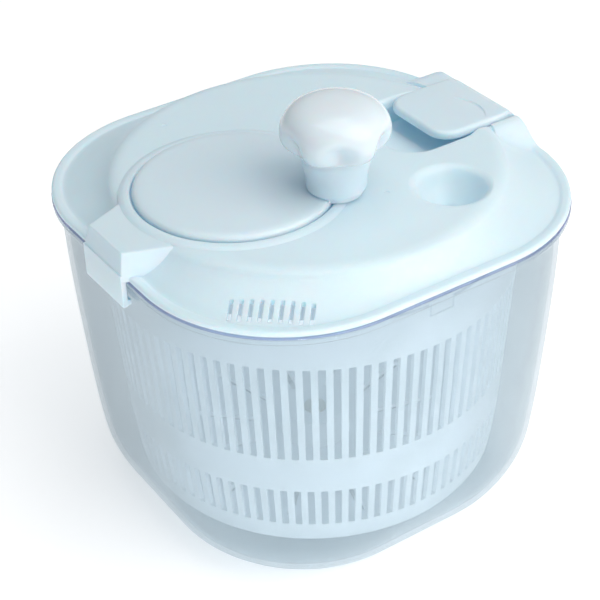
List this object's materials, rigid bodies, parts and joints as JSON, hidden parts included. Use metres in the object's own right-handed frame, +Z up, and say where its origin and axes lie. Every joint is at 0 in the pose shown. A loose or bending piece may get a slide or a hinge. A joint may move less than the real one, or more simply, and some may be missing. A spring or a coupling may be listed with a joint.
{
  "type": "salad spinner",
  "caption": "Crank-driven salad spinner: clear rounded-square bowl, slotted basket, geared lid with disc crank, knob, latch, water inlet and drain slits.",
  "frame": {"origin": "centre of the bowl's base, on the basket's axis", "axes": "+Z up out of the bowl; +Y towards the latch; +X towards the side with the inlet funnel on its +Y corner and the drain slits on its -Y corner"},
  "size_m": [0.224, 0.231, 0.228],
  "materials": {
    "clear_plastic": "clear polished",
    "basket_plastic": "satin moulded",
    "lid_plastic": "smooth moulded",
    "knob_plastic": "high gloss",
    "gear_plastic": "natural acetal",
    "steel": "plain"
  },
  "bodies": {
    "bowl": {"bowl": "clear_plastic"},
    "basket_seat": {"pivot_bush": "gear_plastic"},
    "basket": {"basket": "basket_plastic"},
    "lid": {"lid_shell": "lid_plastic", "gear_cover": "lid_plastic", "cover_screw_1": "steel", "cover_screw_2": "steel", "cover_screw_3": "steel", "cover_screw_4": "steel", "latch_hinge_pin": "steel", "pinion_bush": "gear_plastic", "latch_spring": "steel"},
    "driver": {"drive_spider": "basket_plastic", "drive_pinion": "gear_plastic", "pinion_screw": "steel"},
    "crank": {"crank_disc": "lid_plastic", "drive_gear": "gear_plastic", "crank_washer": "steel", "crank_screw": "steel", "knob_axle_screw": "steel"},
    "knob": {"knob_cap": "knob_plastic", "knob_bush": "gear_plastic"},
    "latch": {"latch": "lid_plastic"}
  },
  "joints": [
    {"name": "lid_lift", "type": "slide", "parent": "bowl", "child": "lid", "axis": [0, 0, 1], "range_m": [0, 0.36]},
    {"name": "basket_lift", "type": "slide", "parent": "bowl", "child": "basket_seat", "axis": [0, 0, 1], "range_m": [0, 0.18]},
    {"name": "basket_spin", "type": "hinge", "parent": "basket_seat", "child": "basket", "pos_m": [0, 0, 0.02], "axis": [0, 0, 1], "continuous": true},
    {"name": "driver_spin", "type": "hinge", "parent": "lid", "child": "driver", "pos_m": [0, 0, 0.165], "axis": [0, 0, 1], "continuous": true},
    {"name": "crank_spin", "type": "hinge", "parent": "lid", "child": "crank", "pos_m": [0, -0.041, 0.175], "axis": [0, 0, 1], "continuous": true},
    {"name": "knob_spin", "type": "hinge", "parent": "crank", "child": "knob", "pos_m": [0.03281, -0.00569, 0.2042], "axis": [0, 0, 1], "continuous": true},
    {"name": "latch_press", "type": "hinge", "parent": "lid", "child": "latch", "pos_m": [0, 0.102, 0.1745], "axis": [1, 0, 0], "range_deg": [0, 9], "stiffness_Nm_per_rad": 0.3, "springref_deg": -5.73, "deforming": ["latch_spring"]}
  ],
  "couplings": [
    {"joint": "basket_lift", "follows": "lid_lift", "ratio": 0.5},
    {"joint": "driver_spin", "follows": "basket_spin", "ratio": 1},
    {"joint": "crank_spin", "follows": "basket_spin", "ratio": -0.28571}
  ]
}
